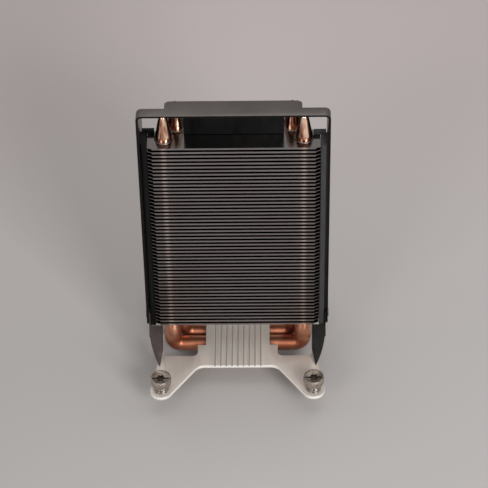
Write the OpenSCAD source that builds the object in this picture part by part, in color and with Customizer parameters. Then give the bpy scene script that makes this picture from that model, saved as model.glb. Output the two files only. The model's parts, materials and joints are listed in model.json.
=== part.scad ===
// Tower heat sink for a computer processor.
// Two copper heat pipes rise from a copper contact plate through a stack of thin
// aluminium fins. A bent sheet shroud stands over the stack and carries a slim fan
// behind it. An X-shaped plate with four spring-loaded captive screws clamps the
// contact plate onto the processor.
// Frame: X to the right, Y to the rear, Z up. The origin is the point of the contact face
// that lies midway between the four screws.

/* [Contact plate and block] */
// Width of the contact plate and of the block on it
base_w = 32; // [26:1:34]
// Depth of the contact plate and of the block on it
base_d = 26; // [24:0.5:28]
// Place of the middle of plate and block, front to rear
base_y = 5.9; // [5.5:0.1:6.3]
// Copper left under the heat pipes
under_pipe = 3.2; // [1.5:0.1:5]
// Aluminium left over the heat pipes
over_pipe = 0.4; // [0.2:0.1:1]
// Radius of the vertical edges of plate and block
base_corner_r = 1; // [0.3:0.1:2]

/* [Heat pipes] */
// Diameter of a heat pipe
pipe_d = 8; // [6:0.5:8.5]
// Distance from the middle to a leg of the front pipe
front_leg_x = 32.8; // [30:0.2:33.4]
// Distance from the middle to a leg of the rear pipe
rear_leg_x = 27.4; // [24:0.2:28]
// Place of the front pipe, front to rear
front_pipe_y = 1.4; // [-1:0.2:3]
// Place of the rear pipe, front to rear
rear_pipe_y = 10.4; // [9.6:0.2:11.4]
// Radius of the front pipe's bends, at its centre line
front_bend_r = 5; // [4.6:0.2:8]
// Radius of the rear pipe's bends, at its centre line
rear_bend_r = 5; // [4.6:0.2:8]
// Height of a pipe's pinched end above the top fin
tip_h = 14.8; // [10:0.2:16]
// Radius of the welded point of a pipe
tip_r = 1.4; // [0.8:0.1:2]
// Length of the round pipe above the top fin, before it narrows
tip_straight = 2.4; // [1:0.2:4]

/* [Fins] */
// Number of fins
fin_count = 52; // [40:4:56]
// Distance from one fin to the next
fin_pitch = 2.2157; // [1.8:0.05:2.4]
// Thickness of the fin sheet
fin_t = 0.4; // [0.3:0.05:0.6]
// Height of the lip folded down along a fin's front edge
fin_lip = 1; // [0.7:0.05:1.3]
// Width of a fin at the front
fin_w = 80.92; // [76:0.5:84]
// Width of a fin behind its side notches
fin_rear_w = 69; // [67:0.5:72]
// Depth of a fin
fin_d = 26; // [24:0.5:30]
// Depth of the full-width part of a fin
fin_shoulder_d = 13; // [9:0.5:15]
// Length of the clipped front corners of a fin
fin_clip_x = 2.2; // [1:0.1:4]
// Setback of the clipped front corners of a fin
fin_clip_y = 1; // [0.5:0.1:2]
// Place of the fins' front edges
fin_front_y = -6.2; // [-7:0.1:-5]
// Height of the lowest fin's lip above the contact face
fin_bottom_z = 27.3; // [27:0.1:34]
// Gap between a fin and the pipe through it
fin_pipe_gap = 0.03; // [0.01:0.01:0.1]

/* [Shroud] */
// Outer width of the shroud
shroud_w = 90; // [88:0.5:96]
// Thickness of the shroud's sheet
sheet_t = 1; // [0.8:0.1:1.2]
// Outer radius of the shroud's two bends
shroud_bend_r = 2.8; // [2:0.1:5]
// Height of the shroud's top above the contact face
shroud_top_z = 160.4; // [158:0.2:176]
// Depth of the shroud's sides
shroud_d = 28.5; // [28:0.5:32]
// Depth of the strap over the fins
strap_d = 5.8; // [4:0.2:9]
// Depth of the wider tongue in the middle of the strap
tongue_d = 11.2; // [10:0.2:14]
// Width of the tongue
tongue_w = 63.8; // [56:0.2:70]
// Radius of the tongue's corners
tongue_r = 2.5; // [1:0.1:4]
// Height of the sides' rear edge
side_rear_z = 137.5; // [132:0.5:140]
// Gap between the lower edge of the sides and the lowest fin
side_drop = 0.6; // [0:0.1:1]
// Radius of the lower corners of the sides
side_corner_r = 3; // [1:0.5:5]
// Width of the hem folded in along the rear edges
hem_w = 1.4; // [1:0.1:1.5]
// Gap between the hem's upper end and the height of the sides' rear edge
hem_drop = 13; // [10:1:20]

/* [Baffle and edge strips] */
// Width of the baffle under the tongue
baffle_w = 47; // [44:1:50]
// Thickness of the baffle
baffle_t = 0.8; // [0.6:0.1:1]
// Depth of the baffle's upper flange
baffle_flange_d = 4; // [2:0.5:5]
// Gap around a part that lies beside the fins
fin_side_gap = 0.2; // [0.1:0.05:0.3]
// Depth of an edge strip
strip_d = 10; // [8:0.5:12]
// Length of an edge strip below the shroud's sides
strip_drop = 1.7; // [0.5:0.1:2.5]
// Setback of the left strip behind the shroud's front edge
left_strip_back = 2.4; // [0.4:0.2:2.8]
// Setback of the right strip behind the shroud's front edge
right_strip_back = 0.8; // [0.4:0.2:2.8]
// Width of the hook that holds the top fin down
hook_w = 3.4; // [2:0.2:5]
// Height of that hook
hook_h = 2.4; // [1.5:0.1:4]

/* [Legs] */
// Thickness of a leg's sheet
leg_t = 0.8; // [0.6:0.1:0.8]
// Width of a leg at its top
leg_w = 6.8; // [6:0.2:7]
// Angle of a leg's blade to the horizontal
leg_slope = 43; // [40:1:60]
// Radius of the blade's outer edge
leg_sweep_r = 44; // [42:1:60]
// Height of the flange that is riveted into the shroud
leg_flange_h = 9; // [8:0.5:12]
// Depth of that flange
leg_flange_d = 16; // [12:0.5:18]

/* [Mounting plate] */
// Thickness of the mounting plate
plate_t = 1.7; // [1.5:0.1:2]
// Distance between screws, both ways
screw_pitch = 75; // [72:0.5:80]
// Distance from the shroud's inner face to the plate's side edge
plate_edge_in = 4.4; // [4:0.1:5]
// Depth of the plate between its arms
plate_d = 41.8; // [40:0.2:44]
// Radius of the plate's rounded ends
arm_r = 5.5; // [5:0.1:7]
// Half width of the plate's middle, where an arm begins
arm_root_x = 19.5; // [18:0.5:22]
// Radius of the corner between the plate's middle and an arm
arm_root_r = 6; // [2:0.5:8]
// Front edge of the windows for the pipes
window_front_y = -14; // [-16:0.2:-12]
// Rear edge of the windows for the pipes
window_rear_y = 16.4; // [15.6:0.2:17]
// Outer edge of the windows for the pipes
window_out_x = 37.2; // [37:0.1:37.4]
// Inner edge of the wide part of a window
window_in_x = 20; // [18:0.5:22]
// Front edge of the narrow part of a window, next to the block
window_step_y = -6.2; // [-8:0.2:-4]
// Radius of the windows' corners
window_r = 2.6; // [1:0.1:4]
// Number of grooves across the plate's middle
groove_count = 9; // [5:2:9]
// Distance from groove to groove
groove_pitch = 2.85; // [2.4:0.05:3.2]
// Width of a groove
groove_w = 0.9; // [0.5:0.05:1.3]
// Depth of a groove
groove_h = 0.6; // [0.3:0.05:1]

/* [Captive screws] */
// Radius of a screw's shoulder
shoulder_r = 1.9; // [1.7:0.05:2.2]
// Gap around the shoulder in the plate
shoulder_gap = 0.35; // [0.3:0.05:0.5]
// Radius of a screw's thread
thread_r = 1.5; // [1.25:0.05:1.5]
// Height of a screw's point above the contact face
screw_tip_z = 8.4; // [8:0.1:8.6]
// Length of a screw's thread
thread_l = 2.1; // [1.6:0.1:2.2]
// Radius of a screw's head
head_r = 5; // [4.4:0.1:5.4]
// Height of a screw's head
head_h = 4; // [3.4:0.1:4.4]
// Height of a head's top above the plate
head_top = 9; // [8.6:0.1:10]
// Width of the rim around a head's top
rim_w = 0.7; // [0.4:0.1:0.9]
// Height of that rim above the face with the recess
rim_h = 0.8; // [0.4:0.1:1.2]
// Radius of the star recess in a head
recess_r = 2.3; // [2:0.1:2.8]
// Depth of the recesses in a head
recess_h = 1.3; // [0.8:0.1:1.6]
// Width of the slot across a head
slot_w = 0.9; // [0.6:0.1:1.2]
// Radius of the washer under a head
washer_r = 4.4; // [4:0.1:4.8]
// Thickness of that washer
washer_t = 0.6; // [0.4:0.1:0.8]
// Radius of a spring's coil, at the middle of its wire
spring_r = 3.3; // [3:0.1:3.6]
// Diameter of a spring's wire
spring_wire = 0.7; // [0.5:0.05:0.8]
// Number of turns of a spring
spring_turns = 3; // [2:0.5:4]
// Radius of the retaining ring below the plate
ring_r = 3.4; // [3:0.1:3.8]
// Thickness of that ring
ring_t = 0.6; // [0.4:0.1:0.8]
// Gap between the retaining ring and the plate
ring_gap = 0.1; // [0.05:0.05:0.3]

/* [Fan] */
// Width and height of the fan's frame
fan_w = 80; // [79:0.5:82]
// Depth of the fan's frame
fan_d = 10; // [10:0.5:12]
// Height of the fan's axis above the contact face
fan_z = 81.5; // [76:0.5:82]
// Least wall between the air opening and the frame's side
fan_rim = 1.6; // [1.4:0.1:3]
// Radius of the frame's corners
fan_corner_r = 4; // [2:0.5:6]
// Distance from the frame's side to the middle of a screw hole
fan_hole_inset = 4.25; // [4:0.05:4.5]
// Radius of the fan's screws
fan_screw_r = 1.9; // [1.5:0.1:2]
// Gap around a fan screw in the frame
fan_screw_gap = 0.25; // [0.1:0.05:0.4]
// Radius of a fan screw's head
fan_head_r = 3.7; // [3:0.1:4]
// Height of a fan screw's head
fan_head_h = 1.8; // [1.4:0.1:2.4]
// Width of a strut that carries the motor
strut_w = 4; // [3:0.5:6]
// Thickness of the struts and of the motor's plate
strut_t = 1.6; // [1.2:0.1:2]
// Radius of the motor's plate
motor_plate_r = 16.5; // [15:0.5:18]
// Radius of the rotor's hub
hub_r = 16; // [15:0.5:18]
// Wall of the rotor's hub
hub_t = 1.1; // [0.8:0.1:1.5]
// Depth of the rotor's hub
hub_d = 6.8; // [6:0.1:7]
// Number of blades
blade_count = 7; // [5:2:11]
// Gap between the blades' tips and the frame
blade_gap = 1.1; // [1:0.1:3.4]
// Thickness of a blade
blade_t = 1; // [0.8:0.1:1.4]
// Distance from the blades to the hub's two faces
blade_inset = 0.2; // [0.1:0.1:0.6]
// Angle of a blade to the plane of the fan
blade_pitch = 34; // [25:1:36]
// Radius of the fan's shaft
shaft_r = 1.2; // [1:0.1:1.5]
// Gap between the shaft and its bearings
shaft_gap = 0.04; // [0.02:0.01:0.08]
// Radius of the bearings
bearing_r = 2.6; // [2.4:0.1:3]
// Depth of one bearing
bearing_d = 1.8; // [1.5:0.1:2]
// Wall of the tube that holds the bearings
bearing_tube_t = 0.9; // [0.7:0.1:1.2]
// Thickness of the steel ring in the hub
yoke_t = 0.8; // [0.6:0.1:1]
// Thickness of the magnet ring in the steel ring
magnet_t = 1.6; // [1.2:0.1:2]
// Gap between magnet and stator
air_gap = 0.6; // [0.4:0.1:0.8]
// Depth of the stator's stack
stator_d = 2; // [1.6:0.1:2.2]
// Thickness of the circuit board
board_t = 0.8; // [0.6:0.1:1]

/* [Rivets] */
// Radius of a rivet's shank
rivet_r = 1.3; // [1:0.1:1.6]
// Radius of a rivet's head
rivet_head_r = 2.3; // [2:0.1:2.8]
// Height of a rivet's head
rivet_head_h = 0.5; // [0.4:0.1:0.8]

/* [Hidden] */
$fn = 64;
eps = 0.01;
pipe_r = pipe_d / 2;
pipe_z = under_pipe + pipe_r;
plate_z = pipe_z + pipe_r + over_pipe;
plate_top_z = plate_z + plate_t;
screw_x = screw_pitch / 2;
fin_top_z = fin_bottom_z + (fin_count - 1) * fin_pitch + fin_lip;
fin_rear_y = fin_front_y + fin_d;
shroud_x = shroud_w / 2;
inner_x = shroud_x - sheet_t;
plate_w = 2 * (inner_x - plate_edge_in);
shroud_rear_y = fin_front_y + shroud_d;
side_bottom_z = fin_bottom_z - side_drop;
strap_under_z = shroud_top_z - sheet_t;
fan_plate_y = shroud_rear_y - 2 * sheet_t - fin_side_gap;
fan_y = fan_plate_y + sheet_t;
fan_plate_bottom_z = side_bottom_z + 1;
fan_plate_top_z = fan_z + fan_w / 2 + 2;
fan_flange_y = fan_plate_y - 8;
strip_x = fin_w / 2 + fin_side_gap;
strip_rear_x = inner_x - leg_t - fin_side_gap / 2;
strip_bottom_z = side_bottom_z - strip_drop;
strip_top_z = fin_top_z + 0.4;
hook_t = 1.6;
leg_front_y = fin_front_y;
leg_top_z = fin_bottom_z - 0.1;
leg_flange_top_z = side_bottom_z + leg_flange_h;
leg_blade_l = (leg_top_z - plate_top_z - leg_t * cos(leg_slope)) / sin(leg_slope);
baffle_y = fin_front_y + tongue_d - baffle_t - 0.2;
head_z = plate_top_z + head_top - head_h;
washer_z = head_z - washer_t;
ring_z = plate_z - ring_gap - ring_t;
shoulder_z = screw_tip_z + thread_l;
fan_bore_r = fan_w / 2 - fan_rim;
fan_hole_pitch = fan_w - 2 * fan_hole_inset;
blade_r = fan_bore_r - blade_gap;
hub_y = fan_y + 0.9;
strut_y = fan_y + fan_d - strut_t;
board_y = strut_y - board_t;
stator_y = board_y - stator_d - 0.7;
magnet_in_r = hub_r - hub_t - yoke_t - magnet_t;
stator_r = magnet_in_r - air_gap;
tube_r = bearing_r + bearing_tube_t;
tube_y = hub_y + hub_t + 0.5;
rivet_z_low = side_bottom_z + leg_flange_h / 2;
fan_rivet_zs = [fan_plate_bottom_z + 18, fan_plate_top_z - 14];
leg_rivet_ys = [fin_front_y + 5, fin_front_y + 12];
fins_per_group = fin_count / 4;

// The corners, in order: front left, front right, rear left, rear right
function corner_x(i) = (i % 2 == 0) ? -screw_x : screw_x;
function corner_y(i) = (i < 2) ? -screw_x : screw_x;

// ---------- shared shapes ----------

// A box with rounded vertical edges, its lower face at z
module rounded_block(w, d, z, h, r) {
  translate([0, 0, z]) linear_extrude(h)
    rounded_rect(w, d, r);
}

// A rectangle with true arcs at its corners, centred
module rounded_rect(w, d, r) {
  square([w - 2 * r, d], center = true);
  square([w, d - 2 * r], center = true);
  for (sx = [-1, 1], sy = [-1, 1])
    translate([sx * (w / 2 - r), sy * (d / 2 - r)]) circle(r);
}

// A cylinder along Y, from y to y + l, at x and z
module rod_y(x, y, z, r, l) {
  translate([x, y, z]) rotate([-90, 0, 0]) cylinder(r = r, h = l);
}

// A ring along Y around the fan's axis
module fan_ring(y, l, out_r, in_r) {
  translate([0, y, fan_z]) rotate([-90, 0, 0])
    rotate_extrude() translate([in_r, 0]) square([out_r - in_r, l]);
}

// A cylinder along X, from x to x + l
module rod_x(x, y, z, r, l) {
  translate([x, y, z]) rotate([0, 90, 0]) cylinder(r = r, h = l);
}

// ---------- base ----------

// The grooves that hold the lower legs of both pipes
module pipe_grooves(w) {
  for (y = [front_pipe_y, rear_pipe_y])
    rod_x(-w / 2 - 1, y, pipe_z, pipe_r + eps, w + 2);
}

module contact_plate() {
  color([0.72, 0.45, 0.32]) difference() {
    translate([0, base_y, 0]) rounded_block(base_w, base_d, 0, pipe_z, base_corner_r);
    pipe_grooves(base_w);
  }
}

module base_block() {
  color([0.62, 0.6, 0.56]) difference() {
    translate([0, base_y, 0])
      rounded_block(base_w, base_d, pipe_z, pipe_r + over_pipe, base_corner_r);
    pipe_grooves(base_w);
  }
}

// ---------- mounting plate ----------

// Where a straight line from p touches the circle of radius r about c, on side 1 or -1
function touch_point(p, c, r, side) =
  let (d = norm(c - p), a = atan2(c[1] - p[1], c[0] - p[0]) + side * asin(r / d))
  p + sqrt(d * d - r * r) * [cos(a), sin(a)];

// The points of an arc of radius r that rounds corner p between the directions u and w
function round_corner(p, u, w, r) =
  let (half = acos(u * w) / 2, c = p + r / sin(half) * (u + w) / norm(u + w),
       a = p + r / tan(half) * u - c, b = p + r / tan(half) * w - c,
       from = atan2(a[1], a[0]), to = atan2(b[1], b[0]))
  [for (k = [0:6]) c + r * [cos(from + (to - from) * k / 6), sin(from + (to - from) * k / 6)]];

// One arm, from the plate's middle to the screw; its round end is a disc about the screw
module arm_outline() {
  root_in = [arm_root_x, plate_d / 2];
  root_out = [plate_w / 2, plate_d / 2 - 3];
  end = [screw_x, screw_x];
  touch_in = touch_point(root_in, end, arm_r - eps, 1);
  along = (touch_in - root_in) / norm(touch_in - root_in);
  polygon(concat([[-1, -1], [-1, plate_d / 2]],
                 round_corner(root_in, [-1, 0], along, arm_root_r),
                 [touch_in, end, touch_point(root_out, end, arm_r - eps, -1),
                  root_out, [plate_w / 2, -1]]));
}

module window_outline() {
  difference() {
    union() {
      translate([window_in_x, window_front_y])
        square([window_out_x - window_in_x, window_rear_y - window_front_y]);
      translate([base_w / 2, window_step_y])
        square([window_in_x - base_w / 2 + eps, window_rear_y - window_step_y]);
    }
    for (c = [[window_in_x, window_front_y, 1, 1], [window_out_x, window_front_y, -1, 1],
              [window_out_x, window_rear_y, -1, -1]])
      corner_web(c[0], c[1], c[2], c[3], window_r);
  }
}

// The web left in a square corner when it is rounded to radius r
module corner_web(x, y, sx, sy, r) {
  difference() {
    translate([x + sx * (r / 2 - eps), y + sy * (r / 2 - eps)])
      square(r + 2 * eps, center = true);
    translate([x + sx * r, y + sy * r]) circle(r);
  }
}

module mounting_plate() {
  color([0.67, 0.64, 0.6]) difference() {
    union() {
      translate([0, 0, plate_z]) linear_extrude(plate_t) difference() {
        for (sx = [0, 1], sy = [0, 1])
          mirror([sx, 0]) mirror([0, sy]) arm_outline();
        for (sx = [0, 1]) mirror([sx, 0]) window_outline();
      }
      for (i = [0:3])
        translate([corner_x(i), corner_y(i), plate_z]) cylinder(r = arm_r, h = plate_t);
    }
    for (i = [0:3])
      translate([corner_x(i), corner_y(i), plate_z - 1])
        cylinder(r = shoulder_r + shoulder_gap, h = plate_t + 2);
    for (i = [0:groove_count - 1])
      translate([(i - (groove_count - 1) / 2) * groove_pitch - groove_w / 2,
                 -plate_d, plate_top_z - groove_h])
        cube([groove_w, 2 * plate_d, groove_h + 1]);
  }
}

// ---------- heat pipes ----------

// One U-shaped pipe: the level run, then on each side a bend, the leg with its pinched end,
// and the welded point
module heat_pipe(y, leg_x, bend_r) {
  leg_h = fin_top_z + tip_straight - pipe_z - bend_r;
  point_h = leg_h + tip_h - tip_straight - tip_r;
  color([0.72, 0.42, 0.28]) translate([0, y, pipe_z]) {
    rod_x(-leg_x + bend_r, 0, 0, pipe_r, 2 * (leg_x - bend_r));
    for (side = [0, 1]) mirror([side, 0, 0]) translate([leg_x - bend_r, 0, bend_r]) {
      rotate([-90, 0, 0]) rotate_extrude(angle = 90) translate([bend_r, 0]) circle(pipe_r);
      translate([bend_r, 0, 0]) rotate_extrude()
        polygon([[0, 0], [pipe_r, 0], [pipe_r, leg_h], [tip_r, point_h], [0, point_h]]);
      translate([bend_r, 0, point_h]) sphere(tip_r);
    }
  }
}

module heat_pipe_front() { heat_pipe(front_pipe_y, front_leg_x, front_bend_r); }
module heat_pipe_rear() { heat_pipe(rear_pipe_y, rear_leg_x, rear_bend_r); }

// ---------- fins ----------

module fin_outline() {
  half = fin_w / 2;
  rear_half = fin_rear_w / 2;
  shoulder_y = fin_front_y + fin_shoulder_d;
  difference() {
    polygon([[-half + fin_clip_x, fin_front_y], [half - fin_clip_x, fin_front_y],
             [half, fin_front_y + fin_clip_y], [half, shoulder_y],
             [rear_half, shoulder_y], [rear_half, fin_rear_y],
             [-rear_half, fin_rear_y], [-rear_half, shoulder_y],
             [-half, shoulder_y], [-half, fin_front_y + fin_clip_y]]);
    for (side = [-1, 1]) {
      translate([side * front_leg_x, front_pipe_y]) circle(pipe_r + fin_pipe_gap);
      translate([side * rear_leg_x, rear_pipe_y]) circle(pipe_r + fin_pipe_gap);
    }
  }
}

// One fin: the sheet, with its front edge folded down
module fin(i) {
  top = fin_bottom_z + i * fin_pitch + fin_lip;
  translate([0, 0, top - fin_t]) linear_extrude(fin_t) fin_outline();
  translate([-fin_w / 2 + fin_clip_x, fin_front_y, top - fin_lip])
    cube([fin_w - 2 * fin_clip_x, fin_t, fin_lip]);
}

// One quarter of the stack
module fin_group(k) {
  color([0.5, 0.49, 0.47])
    for (i = [k * fins_per_group : (k + 1) * fins_per_group - 1]) fin(i);
}

module fins_bottom() { fin_group(0); }
module fins_lower() { fin_group(1); }
module fins_upper() { fin_group(2); }
module fins_top() { fin_group(3); }

// ---------- shroud ----------

// The outline of one side, seen from the side: Y to the right, Z up
module side_outline() {
  difference() {
    polygon([[fin_front_y, side_bottom_z], [shroud_rear_y, side_bottom_z],
             [shroud_rear_y, side_rear_z],
             [fin_front_y + strap_d + 2, shroud_top_z - shroud_bend_r - 1],
             [fin_front_y + strap_d, shroud_top_z - shroud_bend_r + eps],
             [fin_front_y, shroud_top_z - shroud_bend_r + eps]]);
    corner_web(fin_front_y, side_bottom_z, 1, 1, side_corner_r);
    corner_web(shroud_rear_y, side_bottom_z, -1, 1, side_corner_r);
  }
}

// The bend between the strap and one side
module shroud_bend() {
  translate([shroud_x - shroud_bend_r, fin_front_y, shroud_top_z - shroud_bend_r])
    rotate([-90, 0, 0]) mirror([0, 1, 0]) rotate_extrude(angle = 90)
      translate([shroud_bend_r - sheet_t, 0]) square([sheet_t, strap_d]);
}

module shroud_rivet_holes() {
  for (z = fan_rivet_zs)
    rod_x(shroud_x - 3, fan_flange_y + 4, z, rivet_r, 6);
  for (y = leg_rivet_ys)
    rod_x(shroud_x - 3, y, rivet_z_low, rivet_r, 6);
}

module shroud() {
  color([0.18, 0.17, 0.17]) {
    for (side = [0, 1]) mirror([side, 0, 0]) {
      difference() {
        translate([inner_x, 0, 0]) rotate([90, 0, 90])
          linear_extrude(sheet_t) side_outline();
        shroud_rivet_holes();
      }
      shroud_bend();
      translate([inner_x - hem_w, shroud_rear_y - sheet_t, side_bottom_z + side_corner_r + 1])
        cube([hem_w + eps, sheet_t, side_rear_z - side_bottom_z - side_corner_r - hem_drop]);
    }
    translate([-shroud_x + shroud_bend_r - eps, fin_front_y, strap_under_z])
      cube([shroud_w - 2 * shroud_bend_r + 2 * eps, strap_d, sheet_t]);
    translate([0, fin_front_y, strap_under_z]) linear_extrude(sheet_t) difference() {
      translate([-tongue_w / 2, 0]) square([tongue_w, tongue_d]);
      for (side = [-1, 1])
        corner_web(side * tongue_w / 2, tongue_d, -side, -1, tongue_r);
    }
  }
}

// A folded sheet that closes the space between tongue and top fin
module top_baffle() {
  color([0.07, 0.07, 0.07]) {
    translate([-baffle_w / 2, baffle_y, fin_top_z + 0.2])
      cube([baffle_w, baffle_t, strap_under_z - fin_top_z - 0.2]);
    translate([-baffle_w / 2, baffle_y - baffle_flange_d, strap_under_z - baffle_t])
      cube([baffle_w, baffle_flange_d + eps, baffle_t]);
  }
}

// The strip that closes one side between the fins and the shroud
module edge_strip(back) {
  front_y = fin_front_y + back;
  hook_y = front_y + strip_d - hook_t;
  translate([strip_x, front_y, strip_bottom_z])
    cube([strip_rear_x - strip_x, strip_d, strip_top_z - strip_bottom_z]);
  translate([strip_rear_x - eps, front_y + 1, leg_flange_top_z + 0.5])
    cube([inner_x - strip_rear_x + eps, strip_d - 1, strip_top_z - leg_flange_top_z - 0.5]);
  translate([strip_x - hook_w, hook_y, fin_top_z + 0.1])
    cube([hook_w + eps, hook_t, hook_h]);
  translate([strip_x, hook_y, strip_top_z - eps])
    cube([strip_rear_x - strip_x, hook_t, fin_top_z + 0.1 + hook_h - strip_top_z + eps]);
}

module left_edge_strip() {
  color([0.12, 0.12, 0.12]) mirror([1, 0, 0]) edge_strip(left_strip_back);
}
module right_edge_strip() {
  color([0.25, 0.25, 0.25]) edge_strip(right_strip_back);
}

// ---------- legs ----------

// The sloping blade of a leg, laid flat: X to the right, its top edge at y = 0
module leg_blade_outline() {
  foot = leg_blade_l + 1;
  intersection() {
    polygon([[inner_x, 0], [inner_x - leg_w, 0], [inner_x - leg_w - 0.2, -0.62 * leg_blade_l],
             [inner_x - leg_w + 1.6, -foot], [inner_x, -foot]]);
    translate([inner_x - leg_sweep_r, 0]) circle(leg_sweep_r, $fn = 180);
  }
}

// The flange in the shroud and its gusset along the blade: Y to the right, Z up
module leg_flange_outline() {
  gusset = leg_blade_l * 0.3;
  polygon([[leg_front_y + eps, leg_flange_top_z], [leg_front_y + leg_flange_d, leg_flange_top_z],
           [leg_front_y + leg_flange_d, leg_top_z - 4], [leg_front_y + 1, leg_top_z - 4],
           [leg_front_y + 1 - gusset * cos(leg_slope), leg_top_z - 1 - gusset * sin(leg_slope)],
           [leg_front_y - gusset * cos(leg_slope), leg_top_z - 0.2 - gusset * sin(leg_slope)],
           [leg_front_y + eps, leg_top_z - 0.2]]);
}

module leg() {
  difference() {
    union() {
      translate([0, leg_front_y, leg_top_z]) rotate([leg_slope, 0, 0]) translate([0, 0, -leg_t])
        linear_extrude(leg_t) leg_blade_outline();
      translate([inner_x - leg_t, 0, 0]) rotate([90, 0, 90])
        linear_extrude(leg_t - eps) leg_flange_outline();
    }
    for (y = leg_rivet_ys) rod_x(shroud_x - 3, y, rivet_z_low, rivet_r, 6);
    translate([0, leg_front_y - 60, plate_top_z - 10]) cube([shroud_w, 60, 10]);
  }
}

module left_leg() { color([0.3, 0.28, 0.27]) mirror([1, 0, 0]) leg(); }
module right_leg() { color([0.17, 0.16, 0.15]) leg(); }

// ---------- rivets ----------

module rivet(y, z, grip) {
  rod_x(shroud_x - grip, y, z, rivet_r, grip + eps);
  rod_x(shroud_x, y, z, rivet_head_r, rivet_head_h);
}

module shroud_rivets() {
  color([0.35, 0.34, 0.33]) for (side = [0, 1]) mirror([side, 0, 0]) {
    for (z = fan_rivet_zs) rivet(fan_flange_y + 4, z, sheet_t + leg_t);
    for (y = leg_rivet_ys) rivet(y, rivet_z_low, sheet_t + leg_t);
  }
}

// ---------- fan ----------

// The sheet that carries the fan, with a flange along each side
module fan_plate() {
  half = inner_x - eps;
  color([0.16, 0.15, 0.15]) difference() {
    union() {
      translate([-half, fan_plate_y, fan_plate_bottom_z])
        cube([2 * half, sheet_t, fan_plate_top_z - fan_plate_bottom_z]);
      for (side = [0, 1]) mirror([side, 0, 0])
        translate([inner_x - leg_t, fan_flange_y, fan_plate_bottom_z + 4])
          cube([leg_t, fan_plate_y - fan_flange_y + eps,
                fan_plate_top_z - fan_plate_bottom_z - 8]);
    }
    rod_y(0, fan_plate_y - 1, fan_z, fan_bore_r, sheet_t + 2);
    fan_screw_places() rod_y(0, fan_plate_y - 1, 0, fan_screw_r, sheet_t + 2);
    for (side = [0, 1]) mirror([side, 0, 0]) for (z = fan_rivet_zs)
      rod_x(shroud_x - 3, fan_flange_y + 4, z, rivet_r, 6);
  }
}

module fan_screw_places() {
  for (sx = [-1, 1], sz = [-1, 1])
    translate([sx * fan_hole_pitch / 2, 0, fan_z + sz * fan_hole_pitch / 2]) children();
}

// The moulded frame: square body, four struts, motor plate and bearing tube
module fan_frame() {
  color([0.1, 0.1, 0.1]) {
    difference() {
      translate([0, fan_y + fan_d, fan_z]) rotate([90, 0, 0])
        linear_extrude(fan_d) rounded_rect(fan_w, fan_w, fan_corner_r);
      rod_y(0, fan_y - 1, fan_z, fan_bore_r, fan_d + 2);
      fan_screw_places()
        rod_y(0, fan_y - 1, 0, fan_screw_r + fan_screw_gap, fan_d + 2);
    }
    difference() {
      union() {
        for (a = [45, 135, 225, 315])
          translate([0, strut_y, fan_z]) rotate([0, a, 0])
            translate([0, 0, -strut_w / 2]) cube([fan_bore_r + 0.4, strut_t, strut_w]);
        rod_y(0, strut_y, fan_z, motor_plate_r, strut_t);
        rod_y(0, tube_y, fan_z, tube_r, strut_y - tube_y + eps);
      }
      rod_y(0, tube_y - 1, fan_z, bearing_r, strut_y - tube_y + 1 + strut_t - 0.6);
    }
  }
}

module fan_screws() {
  color([0.3, 0.3, 0.3]) fan_screw_places() difference() {
    union() {
      rod_y(0, fan_plate_y, 0, fan_screw_r, sheet_t + fan_d + eps);
      rod_y(0, fan_y + fan_d, 0, fan_head_r, fan_head_h);
    }
    for (a = [0, 90]) rotate([0, a, 0])
      translate([-2, fan_y + fan_d + fan_head_h - 1, -0.45]) cube([4, 2, 0.9]);
  }
}

module fan_bearings() {
  color([0.7, 0.6, 0.4]) {
    fan_ring(tube_y, bearing_d, bearing_r, shaft_r + shaft_gap);
    fan_ring(strut_y - bearing_d, bearing_d, bearing_r, shaft_r + shaft_gap);
  }
}

module fan_circuit_board() {
  color([0.1, 0.35, 0.2]) {
    fan_ring(board_y, board_t, stator_r + 1, tube_r);
    translate([0, board_y - 0.6, fan_z]) rotate([0, 45, 0])
      translate([stator_r - 3, 0, -1]) cube([2.4, 0.6 + eps, 2]);
  }
}

// Four pole pieces on a ring around the bearing tube
module fan_stator_core() {
  color([0.45, 0.45, 0.47]) {
    fan_ring(stator_y, stator_d, tube_r + 2, tube_r);
    intersection() {
      fan_ring(stator_y, stator_d, stator_r, tube_r + 1);
      union() {
        for (a = [0, 90, 180, 270])
          translate([0, stator_y - 1, fan_z]) rotate([0, a, 0]) {
            translate([0, 0, -1]) cube([stator_r, stator_d + 2, 2]);
            translate([stator_r - 1.6, 0, -4.5]) cube([2, stator_d + 2, 9]);
          }
      }
    }
  }
}

// One coil of wire around each pole
module fan_windings() {
  coil_in = tube_r + 2.2;
  coil_l = stator_r - 1.8 - coil_in;
  color([0.75, 0.4, 0.2]) for (a = [0, 90, 180, 270])
    translate([0, stator_y, fan_z]) rotate([0, a, 0]) difference() {
      translate([coil_in, -0.5, -2]) cube([coil_l, stator_d + 1, 4]);
      translate([coil_in - 1, -0.02, -1.02]) cube([coil_l + 2, stator_d + 0.04, 2.04]);
    }
}

// One blade: an inclined plate, trimmed to the fan's sweep
module blade() {
  intersection() {
    translate([(hub_r + blade_r) / 2, hub_y + hub_d / 2, 0]) rotate([blade_pitch, 0, 0])
      cube([blade_r - hub_r + 8, blade_t, 3 * hub_d], center = true);
    translate([0, hub_y + blade_inset, 0]) rotate([-90, 0, 0]) rotate_extrude()
      translate([hub_r - hub_t / 2, 0])
        square([blade_r - hub_r + hub_t / 2, hub_d - 2 * blade_inset]);
    translate([0, hub_y - 1, -hub_d]) cube([blade_r + 2, hub_d + 2, 2 * hub_d]);
  }
}

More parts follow.
